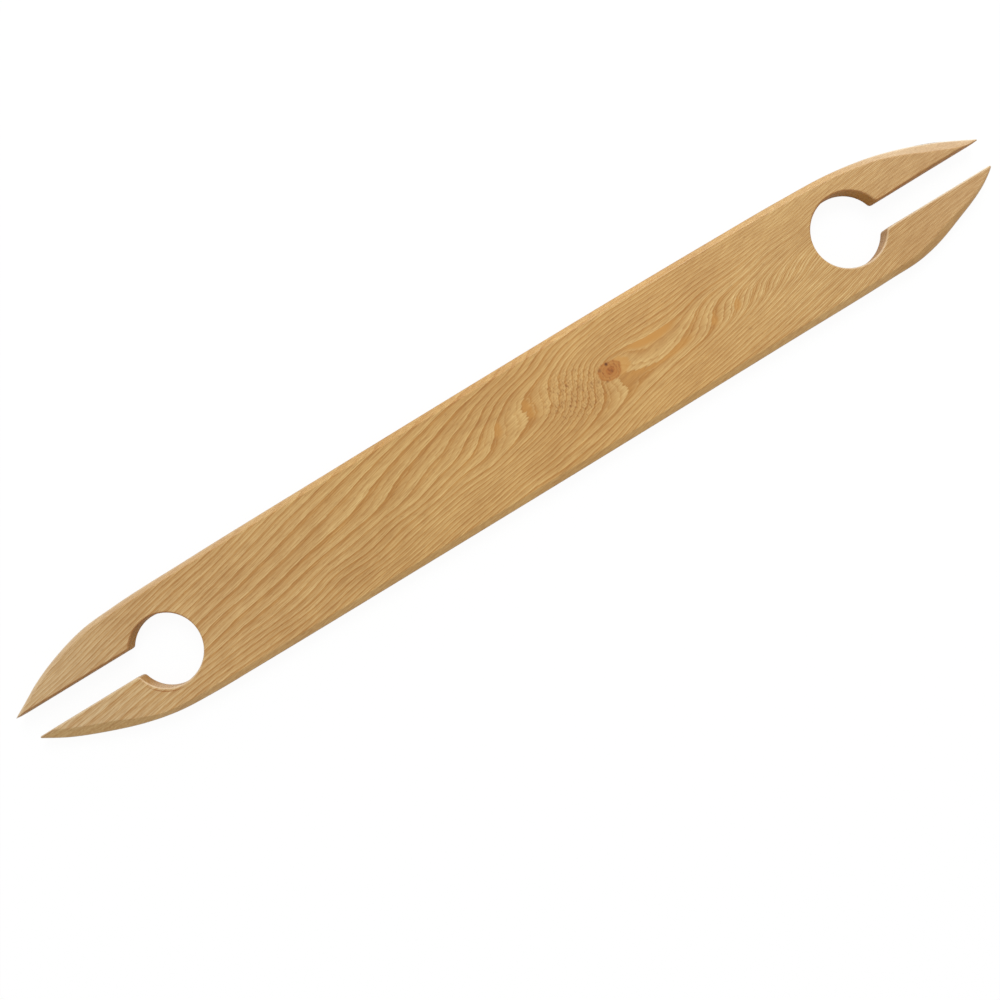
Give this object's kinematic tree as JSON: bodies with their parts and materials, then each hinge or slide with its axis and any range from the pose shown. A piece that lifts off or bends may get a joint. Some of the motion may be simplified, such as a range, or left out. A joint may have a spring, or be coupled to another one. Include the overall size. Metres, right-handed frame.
{
  "type": "stick shuttle",
  "caption": "Flat wooden stick shuttle for hand weaving, with a round hole and an open slot at each end that hold the wound weft.",
  "frame": {"origin": "centre of the underside, midway between the tips and between the straight sides", "axes": "+X along the board to the end on the picture's right, +Y across it to the upper edge in the picture, +Z out of the face that the picture shows"},
  "size_m": [0.505, 0.058, 0.008],
  "materials": {
    "oiled_alder": "sanded and oiled, dull satin, with fine straight grain and one pin knot"
  },
  "bodies": {
    "root": {"shuttle_blade": "oiled_alder"}
  },
  "joints": []
}
